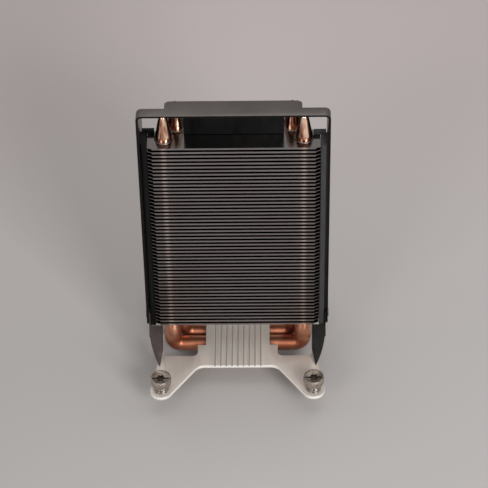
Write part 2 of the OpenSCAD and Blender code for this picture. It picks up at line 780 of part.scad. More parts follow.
module fan_rotor() {
  color([0.08, 0.08, 0.08]) {
    difference() {
      rod_y(0, hub_y, fan_z, hub_r, hub_d);
      rod_y(0, hub_y + hub_t, fan_z, hub_r - hub_t, hub_d);
      rod_y(0, hub_y - 1, fan_z, shaft_r, hub_d);
    }
    for (i = [0:blade_count - 1])
      translate([0, 0, fan_z]) rotate([0, i * 360 / blade_count, 0]) blade();
  }
}

module fan_yoke_ring() {
  color([0.5, 0.5, 0.52])
    fan_ring(hub_y + hub_t, hub_d - hub_t - 0.6, hub_r - hub_t, hub_r - hub_t - yoke_t);
}

module fan_magnet_ring() {
  color([0.2, 0.2, 0.21])
    fan_ring(hub_y + hub_t + 0.4, hub_d - hub_t - 1.2, hub_r - hub_t - yoke_t, magnet_in_r);
}

module fan_shaft() {
  color([0.75, 0.75, 0.77]) difference() {
    rod_y(0, hub_y, fan_z, shaft_r, strut_y - hub_y + 0.5);
    fan_ring(strut_y + 0.05, 0.3, shaft_r + 1, shaft_r - 0.3);
  }
}

// The clip that keeps the shaft in its bearings
module fan_shaft_clip() {
  color([0.85, 0.85, 0.8]) fan_ring(strut_y + 0.1, 0.2, shaft_r + 0.8, shaft_r - 0.3);
}

// ---------- captive screws ----------

// The star recess and the slot across it
module head_recess() {
  for (a = [0, 60, 120]) rotate(a)
    translate([-recess_r, -recess_r * 0.27, 0]) cube([2 * recess_r, recess_r * 0.54, recess_h + 1]);
  cylinder(r = recess_r * 0.72, h = recess_h + 1);
  translate([-head_r * 0.8, -slot_w / 2, recess_h * 0.35])
    cube([head_r * 1.6, slot_w, recess_h + 1]);
}

module captive_screw(i) {
  color([0.55, 0.5, 0.46]) translate([corner_x(i), corner_y(i), 0]) {
    difference() {
      union() {
        translate([0, 0, screw_tip_z + 0.5]) cylinder(r = thread_r, h = thread_l - 0.5 + eps);
        translate([0, 0, screw_tip_z]) cylinder(r1 = thread_r - 0.5, r2 = thread_r, h = 0.5 + eps);
        translate([0, 0, shoulder_z]) cylinder(r = shoulder_r, h = head_z - shoulder_z + eps);
        translate([0, 0, head_z]) cylinder(r = head_r, h = head_h - 0.3);
        translate([0, 0, head_z + head_h - 0.3 - eps])
          cylinder(r1 = head_r, r2 = head_r - 0.3, h = 0.3 + eps);
      }
      translate([0, 0, head_z + head_h - rim_h]) {
        cylinder(r = head_r - rim_w, h = rim_h + 1);
        translate([0, 0, -recess_h]) head_recess();
      }
      translate([0, 0, ring_z - 0.05]) difference() {
        cylinder(r = shoulder_r + 1, h = ring_t + 0.1);
        translate([0, 0, -1]) cylinder(r = shoulder_r - 0.4, h = ring_t + 2);
      }
    }
  }
}

module screw_washer(i) {
  color([0.6, 0.58, 0.55]) translate([corner_x(i), corner_y(i), washer_z])
    rotate_extrude() translate([shoulder_r + shoulder_gap, 0])
      square([washer_r - shoulder_r - shoulder_gap, washer_t]);
}

module retaining_clip(i) {
  color([0.5, 0.48, 0.46]) translate([corner_x(i), corner_y(i), ring_z]) difference() {
    cylinder(r = ring_r, h = ring_t);
    translate([0, 0, -1]) cylinder(r = shoulder_r - 0.4, h = ring_t + 2);
    translate([0, -(shoulder_r - 0.4) * 0.8, -1]) cube([ring_r + 1, (shoulder_r - 0.4) * 1.6, ring_t + 2]);
  }
}

// A coil spring: a round wire swept along a helix, as rings of wire_n points
module spring(i) {
  wire_n = 8;
  steps = ceil(spring_turns * 20);
  rise = washer_z - plate_top_z - spring_wire - 0.06;
  r = spring_wire / 2;
  points = [for (s = [0:steps]) let (a = 360 * spring_turns * s / steps,
                                     z = plate_top_z + 0.03 + r + rise * s / steps)
            for (k = [0:wire_n - 1]) let (b = 360 * k / wire_n)
              [(spring_r + r * cos(b)) * cos(a), (spring_r + r * cos(b)) * sin(a), z + r * sin(b)]];
  walls = [for (s = [0:steps - 1], k = [0:wire_n - 1]) let (n = (k + 1) % wire_n)
            [s * wire_n + k, s * wire_n + n, (s + 1) * wire_n + n, (s + 1) * wire_n + k]];
  ends = [[for (k = [wire_n - 1:-1:0]) k], [for (k = [0:wire_n - 1]) steps * wire_n + k]];
  color([0.7, 0.68, 0.64]) translate([corner_x(i), corner_y(i), 0])
    polyhedron(points, concat(walls, ends));
}

module screw_front_left() { captive_screw(0); }
module screw_front_right() { captive_screw(1); }
module screw_rear_left() { captive_screw(2); }
module screw_rear_right() { captive_screw(3); }
module washer_front_left() { screw_washer(0); }
module washer_front_right() { screw_washer(1); }
module washer_rear_left() { screw_washer(2); }
module washer_rear_right() { screw_washer(3); }
module spring_front_left() { spring(0); }
module spring_front_right() { spring(1); }
module spring_rear_left() { spring(2); }
module spring_rear_right() { spring(3); }
module clip_front_left() { retaining_clip(0); }
module clip_front_right() { retaining_clip(1); }
module clip_rear_left() { retaining_clip(2); }
module clip_rear_right() { retaining_clip(3); }

contact_plate();
base_block();
mounting_plate();
heat_pipe_front();
heat_pipe_rear();
fins_bottom();
fins_lower();
fins_upper();
fins_top();
shroud();
top_baffle();
left_edge_strip();
right_edge_strip();
left_leg();
right_leg();
shroud_rivets();
fan_plate();
fan_frame();
fan_screws();
fan_bearings();
fan_circuit_board();
fan_stator_core();
fan_windings();
fan_rotor();
fan_yoke_ring();
fan_magnet_ring();
fan_shaft();
fan_shaft_clip();
screw_front_left();
screw_front_right();
screw_rear_left();
screw_rear_right();
washer_front_left();
washer_front_right();
washer_rear_left();
washer_rear_right();
spring_front_left();
spring_front_right();
spring_rear_left();
spring_rear_right();
clip_front_left();
clip_front_right();
clip_rear_left();
clip_rear_right();
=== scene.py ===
import bmesh
import bpy
import json
import math
import numpy as np
from mathutils import Matrix, Vector


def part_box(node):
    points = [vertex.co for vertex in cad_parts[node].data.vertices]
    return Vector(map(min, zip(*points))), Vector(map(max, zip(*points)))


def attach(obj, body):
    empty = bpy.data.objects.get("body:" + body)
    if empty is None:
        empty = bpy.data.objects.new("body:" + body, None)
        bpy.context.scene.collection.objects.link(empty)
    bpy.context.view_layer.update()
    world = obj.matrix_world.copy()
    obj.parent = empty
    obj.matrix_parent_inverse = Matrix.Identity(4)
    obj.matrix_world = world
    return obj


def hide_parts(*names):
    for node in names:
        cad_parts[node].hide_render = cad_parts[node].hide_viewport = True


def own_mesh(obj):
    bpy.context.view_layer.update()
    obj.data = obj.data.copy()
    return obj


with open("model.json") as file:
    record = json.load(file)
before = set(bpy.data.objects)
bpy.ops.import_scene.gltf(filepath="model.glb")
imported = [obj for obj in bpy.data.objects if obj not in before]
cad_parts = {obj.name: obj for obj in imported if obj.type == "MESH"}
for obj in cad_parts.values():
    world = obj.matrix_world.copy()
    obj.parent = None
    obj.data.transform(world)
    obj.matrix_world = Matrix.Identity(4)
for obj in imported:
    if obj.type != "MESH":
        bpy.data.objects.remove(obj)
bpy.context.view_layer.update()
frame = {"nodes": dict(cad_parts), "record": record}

# ---------- camera, table and light ----------
# The cooler stands on a plain pale table in a bright room, with a soft key lamp to the front
# right, a weaker one to the front left and a wide one overhead. The camera looks down on the
# open side of the fins.

look_elevation = math.radians(42.0)
look_azimuth = math.radians(0.86)
look_roll = math.radians(-1.0)
look_distance = 1.07548
look_target = Vector((0.0039, 0, 0.07581))

away = Vector((math.sin(look_azimuth) * math.cos(look_elevation),
               -math.cos(look_azimuth) * math.cos(look_elevation),
               math.sin(look_elevation)))
level_right = Vector((0, 0, 1)).cross(away).normalized()
level_up = away.cross(level_right)
camera_right = math.cos(look_roll) * level_right + math.sin(look_roll) * level_up
camera_up = math.cos(look_roll) * level_up - math.sin(look_roll) * level_right
camera_data = bpy.data.cameras.new("camera")
camera_data.sensor_width = 36
camera_data.lens = 163.2
camera_data.clip_end = 50
camera = bpy.data.objects.new("camera", camera_data)
camera.matrix_world = Matrix((
    (camera_right.x, camera_up.x, away.x, (look_target + look_distance * away).x),
    (camera_right.y, camera_up.y, away.y, (look_target + look_distance * away).y),
    (camera_right.z, camera_up.z, away.z, (look_target + look_distance * away).z),
    (0, 0, 0, 1)))
bpy.context.scene.collection.objects.link(camera)
bpy.context.scene.camera = camera
bpy.context.scene.view_settings.view_transform = "Standard"


def mesh_object(name, vertices, faces, smooth=True):
    """An object at the origin whose mesh has these corners and faces, all pointing outwards."""
    mesh = bpy.data.meshes.new(name)
    mesh.from_pydata(np.asarray(vertices, float).tolist(), [], [list(map(int, f)) for f in faces])
    mesh.update()
    shape = bmesh.new()
    shape.from_mesh(mesh)
    bmesh.ops.remove_doubles(shape, verts=shape.verts, dist=1e-7)
    bmesh.ops.recalc_face_normals(shape, faces=shape.faces)
    shape.to_mesh(mesh)
    shape.free()
    mesh.polygons.foreach_set("use_smooth", [smooth] * len(mesh.polygons))
    made = bpy.data.objects.new(name, mesh)
    bpy.context.scene.collection.objects.link(made)
    return made


def material(name, metallic=0.0, roughness=0.5, coat=0.0):
    """A new Principled material, its node tree, its shader, and an Object coordinate output."""
    made = bpy.data.materials.new(name)
    made.use_nodes = True
    tree = made.node_tree
    shader = tree.nodes["Principled BSDF"]
    shader.inputs["Metallic"].default_value = metallic
    shader.inputs["Roughness"].default_value = roughness
    shader.inputs["Coat Weight"].default_value = coat
    place = tree.nodes.new("ShaderNodeTexCoord").outputs["Object"]
    return made, tree, shader, place


def noise(tree, place, scale, stretch=(1, 1, 1), detail=4.0):
    """Noise of that many cells a metre, drawn out along the axes where stretch is small."""
    mapping = tree.nodes.new("ShaderNodeMapping")
    mapping.inputs["Scale"].default_value = stretch
    tree.links.new(place, mapping.inputs["Vector"])
    texture = tree.nodes.new("ShaderNodeTexNoise")
    texture.inputs["Scale"].default_value = scale
    texture.inputs["Detail"].default_value = detail
    texture.inputs["Roughness"].default_value = 0.55
    tree.links.new(mapping.outputs["Vector"], texture.inputs["Vector"])
    return texture.outputs["Fac"]


def ramp(tree, factor, stops):
    """A colour ramp through (position, colour) stops."""
    node = tree.nodes.new("ShaderNodeValToRGB")
    elements = node.color_ramp.elements
    while len(elements) < len(stops):
        elements.new(0.5)
    for element, (position, colour) in zip(elements, stops):
        element.position = position
        element.color = (*colour, 1)
    tree.links.new(factor, node.inputs["Fac"])
    return node.outputs["Color"]


def spread(tree, factor, low, high, source=(0.3, 0.7)):
    """factor, which runs over source, made to run from low to high."""
    node = tree.nodes.new("ShaderNodeMapRange")
    node.inputs["From Min"].default_value = source[0]
    node.inputs["From Max"].default_value = source[1]
    node.inputs["To Min"].default_value = low
    node.inputs["To Max"].default_value = high
    tree.links.new(factor, node.inputs["Value"])
    return node.outputs["Result"]


def axis_of(tree, place, axis):
    """One of the coordinates X, Y or Z."""
    split = tree.nodes.new("ShaderNodeSeparateXYZ")
    tree.links.new(place, split.inputs["Vector"])
    return split.outputs[axis]


def blended(tree, factor, first, second, way="MIX"):
    """Two colours mixed by factor; either may be a plain (r, g, b)."""
    node = tree.nodes.new("ShaderNodeMix")
    node.data_type = "RGBA"
    node.blend_type = way
    for socket, colour in ((node.inputs["A"], first), (node.inputs["B"], second)):
        if isinstance(colour, tuple):
            socket.default_value = (*colour, 1)
        else:
            tree.links.new(colour, socket)
    if isinstance(factor, float):
        node.inputs["Factor"].default_value = factor
    else:
        tree.links.new(factor, node.inputs["Factor"])
    return node.outputs["Result"]


def bump(tree, shader, height, strength, distance):
    """Bump of that height field, distance metres deep at full strength."""
    node = tree.nodes.new("ShaderNodeBump")
    node.inputs["Strength"].default_value = strength
    node.inputs["Distance"].default_value = distance
    tree.links.new(height, node.inputs["Height"])
    tree.links.new(node.outputs["Normal"], shader.inputs["Normal"])


table_half = 3.0
table = mesh_object("table", [(-table_half, -table_half, 0), (table_half, -table_half, 0),
                              (table_half, table_half, 0), (-table_half, table_half, 0)],
                    [(0, 1, 2, 3)], smooth=False)
table_paint, tree, shader, place = material("table_paint", roughness=0.75)
# The table's colour is painted darker to the left and lighter towards the back: a painted falloff of the
# light across an even floor.
sideways = spread(tree, axis_of(tree, place, "X"), 0, 1, (-0.12, 0.13))
depth = spread(tree, axis_of(tree, place, "Y"), 0, 1, (-0.16, 0.26))
painted_light_falloff = blended(tree, 1.0, ramp(tree, sideways, [(0, (0.45, 0.43, 0.423)), (0.5, (0.506, 0.485, 0.478)),
                                              (1, (0.496, 0.475, 0.467))]),
               ramp(tree, depth, [(0.4, (0.95, 0.95, 0.95)), (1, (1.11, 1.04, 1.06))]),
               "MULTIPLY")
tree.links.new(painted_light_falloff, shader.inputs["Base Color"])
bump(tree, shader, noise(tree, place, 900), 0.1, 0.0004)
table.data.materials.append(table_paint)

world = bpy.data.worlds.new("room")
bpy.context.scene.world = world
world.use_nodes = True
room = world.node_tree
sky = room.nodes["Background"]
direction = room.nodes.new("ShaderNodeTexCoord").outputs["Generated"]
walls = ramp(room, spread(room, axis_of(room, direction, "Z"), 0, 1, (-0.1, 1.0)),
             [(0, (0.32, 0.31, 0.3)), (0.35, (0.62, 0.61, 0.6)), (1, (0.95, 0.94, 0.93))])
ahead = ramp(room, spread(room, axis_of(room, direction, "Y"), 0, 1, (-0.8, 0.5)),
             [(0, (0.5, 0.5, 0.5)), (1, (0.9, 0.9, 0.9))])
room.links.new(blended(room, 1.0, walls, ahead, "MULTIPLY"), sky.inputs["Color"])
sky.inputs["Strength"].default_value = 0.85


def area_lamp(name, place, aim, width, depth, power, colour):
    """A rectangular lamp at place that shines towards aim."""
    data = bpy.data.lights.new(name, "AREA")
    data.shape = "RECTANGLE"
    data.size = width
    data.size_y = depth
    data.energy = power
    data.color = colour
    lamp = bpy.data.objects.new(name, data)
    lamp.location = place
    lamp.rotation_euler = (Vector(aim) - Vector(place)).to_track_quat("-Z", "Y").to_euler()
    bpy.context.scene.collection.objects.link(lamp)


area_lamp("key_lamp", (0.5, -0.95, 0.66), (0, 0, 0.05), 0.4, 0.4, 8.6, (1, 0.985, 0.96))
area_lamp("fill_lamp", (-0.55, -0.95, 0.6), (0, 0, 0.05), 0.4, 0.4, 3.2, (1, 0.985, 0.96))
area_lamp("ceiling_lamp", (0.2, 0.2, 1.9), (0, 0, 0), 1.4, 1.2, 4.0, (1, 0.99, 0.97))

# ---------- contact plate and base block ----------
# The copper plate is milled flat below and carries half the pipes' grooves; the extruded
# aluminium block closes them from above. Both are soldered to the pipes.

nodes = frame["nodes"]
bodies = frame["record"]["behaviour"]["bodies"]
body_of_node = {node: body for body, names in bodies.items() for node in names}


def softened(node, width, segments=2, flats=True):
    """A copy of a CAD node with its loose triangles joined, flats merged if asked, and edges
    rounded by a bevel of that width in metres. It stands for the node on the node's own body."""
    mesh = nodes[node].data.copy()
    mesh.name = node + "_finish"
    shape = bmesh.new()
    shape.from_mesh(mesh)
    bmesh.ops.remove_doubles(shape, verts=shape.verts, dist=2e-6)
    if flats:
        bmesh.ops.dissolve_limit(shape, angle_limit=math.radians(1), verts=shape.verts,
                                 edges=shape.edges)
    shape.to_mesh(mesh)
    shape.free()
    mesh.materials.clear()
    mesh.polygons.foreach_set("use_smooth", [True] * len(mesh.polygons))
    piece = bpy.data.objects.new(node + "_finish", mesh)
    bpy.context.scene.collection.objects.link(piece)
    rounding = piece.modifiers.new("rounding", "BEVEL")
    rounding.width = width
    rounding.segments = segments
    rounding.limit_method = "ANGLE"
    rounding.angle_limit = math.radians(30)
    rounding.harden_normals = True
    rounding.miter_outer = "MITER_ARC"
    stand_for(piece, node)
    return piece


def stand_for(piece, node):
    """The piece replaces the node and rides its body."""
    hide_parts(node)
    go_with(piece, node)


def go_with(piece, node):
    """The piece rides the node's body."""
    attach(piece, body_of_node[node])


milled_copper, tree, shader, place = material("milled_copper", 1.0)
streaks = noise(tree, place, 500, (1, 0.03, 1))
tree.links.new(ramp(tree, streaks, [(0.3, (0.62, 0.3, 0.19)), (0.7, (0.78, 0.44, 0.3))]),
               shader.inputs["Base Color"])
tree.links.new(spread(tree, streaks, 0.22, 0.4), shader.inputs["Roughness"])
bump(tree, shader, streaks, 0.3, 0.00003)
softened("contact_plate", 0.0003).data.materials.append(milled_copper)

extruded_aluminium, tree, shader, place = material("extruded_aluminium", 1.0)
lines = noise(tree, place, 700, (0.04, 1, 1))
tree.links.new(ramp(tree, lines, [(0.3, (0.5, 0.48, 0.45)), (0.7, (0.68, 0.66, 0.62))]),
               shader.inputs["Base Color"])
tree.links.new(spread(tree, lines, 0.3, 0.46), shader.inputs["Roughness"])
bump(tree, shader, lines, 0.25, 0.00003)
softened("base_block", 0.0003).data.materials.append(extruded_aluminium)

# ---------- heat pipes ----------
# Drawn copper tube filled with a wick, bent into a tight U while soft. Each end is spun down to a point
# and welded shut, which leaves draw marks; the tips carry painted dark and bright reflection streaks
# along those marks and painted shade on their sides, and the lowest part of each pipe is greyer.


def skin(rings, closed=False):
    """The corners and faces of a skin through rings of points, given as ring, point, xyz.
    The last ring joins the first if closed; if not, a flat face ends the skin each way."""
    count, sides = rings.shape[:2]
    index = np.arange(count * sides).reshape(count, sides)
    if closed:
        index = np.vstack([index, index[:1]])
    quads = np.stack([index[:-1], np.roll(index[:-1], -1, 1), np.roll(index[1:], -1, 1),
                      index[1:]], -1).reshape(-1, 4).tolist()
    if not closed:
        quads += [index[0][::-1].tolist(), index[-1].tolist()]
    return rings.reshape(-1, 3), quads


def together(skins):
    """Several skins as one: their corners in a row, their faces counted on."""
    starts = np.cumsum([0] + [len(corners) for corners, faces in skins])
    faces = [[int(start) + corner for corner in face]
             for start, (corners, group) in zip(starts, skins) for face in group]
    return np.concatenate([corners for corners, group in skins]), faces


def swept(centre, radius, across, sides):
    """The rings of a round tube about a centre line. Ring = centre + radius * (cos t * n +
    sin t * b), where n = across x tangent made one long, and b = tangent x n."""
    tangent = np.gradient(centre, axis=0)
    tangent /= np.linalg.norm(tangent, axis=1)[:, None]
    normal = np.cross(across, tangent)
    normal /= np.linalg.norm(normal, axis=1)[:, None]
    other = np.cross(tangent, normal)
    turn = np.linspace(0, 2 * np.pi, sides, endpoint=False)[None, :, None]
    ring = np.cos(turn) * normal[:, None, :] + np.sin(turn) * other[:, None, :]
    return centre[:, None, :] + np.broadcast_to(radius, len(centre))[:, None, None] * ring


pipe_radius = 0.004
bend_radius = 0.005
tip_height = 0.0148
tip_straight = 0.0024
point_radius = 0.0014


def heat_pipe(node):
    """Half the centre line is: the level run, a quarter circle, and the leg up to the tip;
    the other half is its mirror image. Along the tip the radius falls as the share to the power
    0.9, less a hollow of sin(pi share), and ends as the radius of a ball at that height."""
    low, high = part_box(node)
    leg_x = high.x - pipe_radius
    middle_y = (low.y + high.y) / 2
    run_z = low.z + pipe_radius
    swing = np.linspace(0, np.pi / 2, 20)
    cone_z = np.linspace(high.z - tip_height + tip_straight, high.z, 40)
    x = np.concatenate([np.linspace(0, leg_x - bend_radius, 8)[:-1],
                        leg_x - bend_radius + bend_radius * np.sin(swing),
                        np.full(12 + len(cone_z) - 1, leg_x)])
    z = np.concatenate([np.full(7, run_z), run_z + bend_radius - bend_radius * np.cos(swing),
                        np.linspace(run_z + bend_radius, cone_z[0], 13)[1:], cone_z[1:]])
    along = np.clip((z - cone_z[0]) / (cone_z[-1] - cone_z[0]), 0, 1)
    narrowing = along ** 0.9 * (1 - 0.12 * np.sin(np.pi * along))
    half_radius = pipe_radius + (point_radius - pipe_radius) * narrowing
    bead_z = high.z - point_radius
    bead = np.sqrt(np.clip(point_radius ** 2 - (z - bead_z) ** 2, 1e-9, None))
    half_radius = np.where(z > bead_z, bead, half_radius)
    half = np.stack([x, np.full_like(x, middle_y), z], 1)
    centre = np.concatenate([(half * [-1, 1, 1])[:0:-1], half])
    radius = np.concatenate([half_radius[:0:-1], half_radius])
    piece = mesh_object(node + "_tube", *skin(swept(centre, radius, (0, 1, 0), 48)))
    stand_for(piece, node)
    piece.data.materials.append(drawn_copper)


def facing(tree, axis, low, high):
    """0 to 1 as a face turns towards the axis, either way: |n| there from low to high."""
    normal = tree.nodes.new("ShaderNodeTexCoord").outputs["Normal"]
    size = tree.nodes.new("ShaderNodeMath")
    size.operation = "ABSOLUTE"
    tree.links.new(axis_of(tree, normal, axis), size.inputs[0])
    return spread(tree, size.outputs["Value"], 0, 1, (low, high))


# Pairs of heights between which one finish of the copper gives way to the next, from below.
greyer_below_edge = (0.0045, 0.0075)
run_edge = (0.0105, 0.0135)
ringed_part = (0.016, 0.141)
gloss_edge = (0.135, 0.141)
tip_edge = (0.142, 0.1445)

drawn_copper, tree, shader, place = material("drawn_copper", 1.0)
height = axis_of(tree, place, "Z")
tarnish = noise(tree, place, 160, (1, 1, 0.4), 5)
blotches = noise(tree, place, 70, (1, 1, 1), 3)
clean = ramp(tree, tarnish, [(0.3, (0.7, 0.32, 0.19)), (0.7, (0.86, 0.47, 0.32))])
aged = blended(tree, spread(tree, blotches, 0, 1, (0.42, 0.62)), clean, (0.46, 0.17, 0.11))
# Draw marks on the tips, drawn as painted dark and bright reflection streaks.
spun_and_painted_streaks = ramp(tree, noise(tree, place, 420, (1, 1, 0.06), 3),
            [(0.38, (0.07, 0.03, 0.025)), (0.48, (0.5, 0.24, 0.16)), (0.62, (0.98, 0.7, 0.54))])
# The tips' sides that face left and right are painted dark as shade.
tip_with_painted_shade_sides = blended(tree, facing(tree, "X", 0.5, 0.9), spun_and_painted_streaks, (0.14, 0.055, 0.045))
on_tip = spread(tree, height, 0, 1, tip_edge)
tipped = blended(tree, on_tip, aged, tip_with_painted_shade_sides)
on_run = spread(tree, height, 1, 0, run_edge)
reddened = blended(tree, on_run, tipped, blended(tree, 0.7, tipped, (0.3, 0.085, 0.04)))
# The lowest part of each pipe is blended towards grey.
greyer_below = spread(tree, height, 1, 0, greyer_below_edge)
tree.links.new(blended(tree, greyer_below, reddened, (0.5, 0.4, 0.37)), shader.inputs["Base Color"])
tree.links.new(spread(tree, height, 0.42, 0.17, gloss_edge), shader.inputs["Roughness"])
# Fine polishing rings round each leg spread the light along it.
along_leg = tree.nodes.new("ShaderNodeCombineXYZ")
along_leg.inputs["Z"].default_value = 1.0
tree.links.new(along_leg.outputs["Vector"], shader.inputs["Tangent"])
ringed = ramp(tree, spread(tree, height, 0, 1, ringed_part),
              [(0, (0, 0, 0)), (0.04, (0.95, 0.95, 0.95)), (0.95, (0.95, 0.95, 0.95)), (1, (0, 0, 0))])
tree.links.new(ringed, shader.inputs["Anisotropic"])
bump(tree, shader, noise(tree, place, 220, (1, 1, 1), 2), 0.2, 0.0001)
heat_pipe("heat_pipe_front")
heat_pipe("heat_pipe_rear")

# The solder stands as a thin grey fillet around each pipe where it leaves the block.


def turned(profile, centre, axis, turns=48):
    """The rings of a shape turned on a lathe: each (radius, height) of a closed profile,
    carried round the axis through centre. Point = centre + r (cos a u + sin a v) + h axis."""
    along = Vector(axis)
    side = along.orthogonal().normalized()
    other = along.cross(side)
    swing = np.linspace(0, 2 * np.pi, turns, endpoint=False)[:, None, None]
    radius = np.asarray(profile, float)[None, :, 0:1]
    height = np.asarray(profile, float)[None, :, 1:2]
    round_part = np.cos(swing) * np.array(side) + np.sin(swing) * np.array(other)
    return np.array(centre) + radius * round_part + height * np.array(along)


solder, tree, shader, place = material("solder", 1.0)
flow = noise(tree, place, 900, (1, 1, 1), 4)
tree.links.new(ramp(tree, flow, [(0.3, (0.22, 0.2, 0.19)), (0.7, (0.42, 0.4, 0.38))]),
               shader.inputs["Base Color"])
tree.links.new(spread(tree, flow, 0.25, 0.5), shader.inputs["Roughness"])
bump(tree, shader, flow, 0.5, 0.00008)
block_low, block_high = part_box("base_block")
fillet = [(pipe_radius - 0.0002, 0), (pipe_radius - 0.0002, 0.0005), (pipe_radius + 0.00005, 0.00045),
          (pipe_radius + 0.0002, 0.00018), (pipe_radius + 0.0004, 0.00002), (pipe_radius + 0.0004, 0)]
fillets = []
for pipe in ("heat_pipe_front", "heat_pipe_rear"):
    low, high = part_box(pipe)
    for side in (-1, 1):
        end = (block_high.x if side > 0 else block_low.x, (low.y + high.y) / 2, low.z + pipe_radius)
        fillets.append(skin(turned(fillet, end, (side, 0, 0)), closed=True))
piece = mesh_object("solder_fillets", *together(fillets))
piece.data.materials.append(solder)
go_with(piece, "base_block")

# ---------- mounting plate ----------
# Blanked from aluminium sheet and tumbled matt, with nine grooves pressed across its middle
# and windows for the pipes' bends. It is soldered onto the base block.

plate_metal, tree, shader, place = material("plate_metal", 0.3)
grain = noise(tree, place, 450, (1, 0.08, 1), 5)
cloud = noise(tree, place, 45, (1, 1, 1), 3)
dull = ramp(tree, grain, [(0.3, (0.55, 0.52, 0.475)), (0.7, (0.63, 0.59, 0.54))])
matt = blended(tree, spread(tree, cloud, 0, 1), dull, (0.7, 0.6, 0.54))
plate_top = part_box("mounting_plate")[1].z
# The pressed grooves are painted darker: painted shade in the hollows.
in_groove = spread(tree, axis_of(tree, place, "Z"), 1, 0, (plate_top - 0.0005, plate_top - 0.0001))
groove_painted_shade = blended(tree, in_groove, matt, (0.5, 0.465, 0.425))
# Faces turned neither sideways nor up or down, the front, rear and slanting cut edges, are lighter: bare
# cut metal with a painted highlight.
cut_edge_and_highlight = blended(tree, facing(tree, "X", 0.9, 0.97), facing(tree, "Z", 0.95, 0.7), (0, 0, 0))
tree.links.new(blended(tree, cut_edge_and_highlight, groove_painted_shade, (0.95, 0.93, 0.9)), shader.inputs["Base Color"])
tree.links.new(spread(tree, grain, 0.4, 0.54), shader.inputs["Roughness"])
bump(tree, shader, noise(tree, place, 1400, (1, 1, 1), 3), 0.2, 0.00004)
softened("mounting_plate", 0.0002).data.materials.append(plate_metal)

# ---------- fins ----------
# Fifty-two sheets stamped from thin, dark-anodised aluminium and pressed down over the pipes. Each front
# edge is folded down into a lip, painted lighter and carrying a painted reflection of the pipe behind it
# in line with each pipe.


def paint(node, finish):
    """Gives a CAD node this material in place of its plain one."""
    nodes[node].data.materials.clear()
    nodes[node].data.materials.append(finish)


# How far from the middle the painted reflection of the pipes on the lips begins and ends.
pipe_glint_span = (0.0270, 0.0386)

fin_sheet, tree, shader, place = material("fin_sheet", 1.0)
rolled = noise(tree, place, 300, (0.05, 1, 1), 4)
patches = noise(tree, place, 30, (1, 1, 1), 2)
sheet = ramp(tree, rolled, [(0.3, (0.2, 0.195, 0.19)), (0.7, (0.27, 0.262, 0.255))])
varied = blended(tree, spread(tree, patches, 0, 1, (0.35, 0.65)), sheet, (0.22, 0.2, 0.195))
from_middle = tree.nodes.new("ShaderNodeMath")
from_middle.operation = "ABSOLUTE"
tree.links.new(axis_of(tree, place, "X"), from_middle.inputs[0])
# The lips are painted lighter, most of all in line with each pipe: a painted reflection of the pipes.
painted_pipe_glint = ramp(tree, spread(tree, from_middle.outputs["Value"], 0, 1, pipe_glint_span),
               [(0, (1.2, 1.17, 1.21)), (0.35, (1.38, 1.3, 1.3)), (0.5, (2.7, 2.52, 2.44)),
                (0.65, (1.2, 1.13, 1.13)), (1, (1.0, 0.97, 1.0))])
on_lip = facing(tree, "Y", 0.5, 0.8)
bright = blended(tree, on_lip, (1, 1, 1), painted_pipe_glint)
tree.links.new(blended(tree, 1.0, varied, bright, "MULTIPLY"), shader.inputs["Base Color"])
tree.links.new(spread(tree, on_lip, 0.16, 0.34, (0, 1)), shader.inputs["Roughness"])
for group in ("fins_bottom", "fins_lower", "fins_upper", "fins_top"):
    paint(group, fin_sheet)

# Each pipe has a rolled collar around it on the uppermost fin.
fin_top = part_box("fins_top")[1].z
collar = [(pipe_radius + 0.00003, 0), (pipe_radius + 0.00003, 0.0003), (pipe_radius + 0.00015, 0.00037),
          (pipe_radius + 0.0003, 0.0003), (pipe_radius + 0.0004, 0.0001), (pipe_radius + 0.0006, 0)]
collars = []
for pipe in ("heat_pipe_front", "heat_pipe_rear"):
    low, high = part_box(pipe)
    for x in (low.x + pipe_radius, high.x - pipe_radius):
        collars.append(skin(turned(collar, (x, (low.y + high.y) / 2, fin_top), (0, 0, 1)), closed=True))
piece = mesh_object("fin_collars", *together(collars))
piece.data.materials.append(fin_sheet)
go_with(piece, "fins_top")

# ---------- shroud, fan plate and legs ----------
# Steel sheet, bent and plated black: the shroud stands over the fins as an inverted U, the
# fan plate closes its rear, and the two sloping legs carry it on the mounting plate.


def black_plate(name, dark, light, front_rear_shade, roughness):
    """Black nickel over bent steel: a dark metal with faint clouds and a fine rolled grain, of the colour
    front_rear_shade where it faces front or rear, which is painted shade. The grain runs 0.16 across the
    roughness."""
    made, tree, shader, place = material(name, 1.0)
    mottle = noise(tree, place, 90, (1, 1, 1), 4)
    plated = ramp(tree, mottle, [(0.3, dark), (0.7, light)])
    tree.links.new(blended(tree, facing(tree, "Y", 0.6, 0.95), plated, front_rear_shade), shader.inputs["Base Color"])
    grain = noise(tree, place, 700, (1, 1, 0.06), 3)
    tree.links.new(spread(tree, grain, roughness - 0.06, roughness + 0.1), shader.inputs["Roughness"])
    bump(tree, shader, noise(tree, place, 1500, (1, 1, 1), 2), 0.1, 0.00004)
    return made


# On the shroud the faces turned front and rear are painted nearly black as shade.
black_nickel = black_plate("black_nickel", (0.155, 0.137, 0.13), (0.19, 0.168, 0.16),
                           (0.022, 0.02, 0.019), 0.36)
dull_nickel = black_plate("dull_nickel", (0.06, 0.047, 0.047), (0.09, 0.071, 0.07),
                          (0.075, 0.06, 0.059), 0.58)
# A darker copy of the left leg's finish for the right leg: painted shade.
painted_shade_nickel = black_plate("painted_shade_nickel", (0.016, 0.0155, 0.0145), (0.026, 0.025, 0.0235),
                          (0.02, 0.0195, 0.018), 0.58)
for name, finish in (("shroud", black_nickel), ("left_leg", dull_nickel), ("right_leg", painted_shade_nickel),
                     ("fan_plate", dull_nickel)):
    softened(name, 0.0002).data.materials.append(finish)

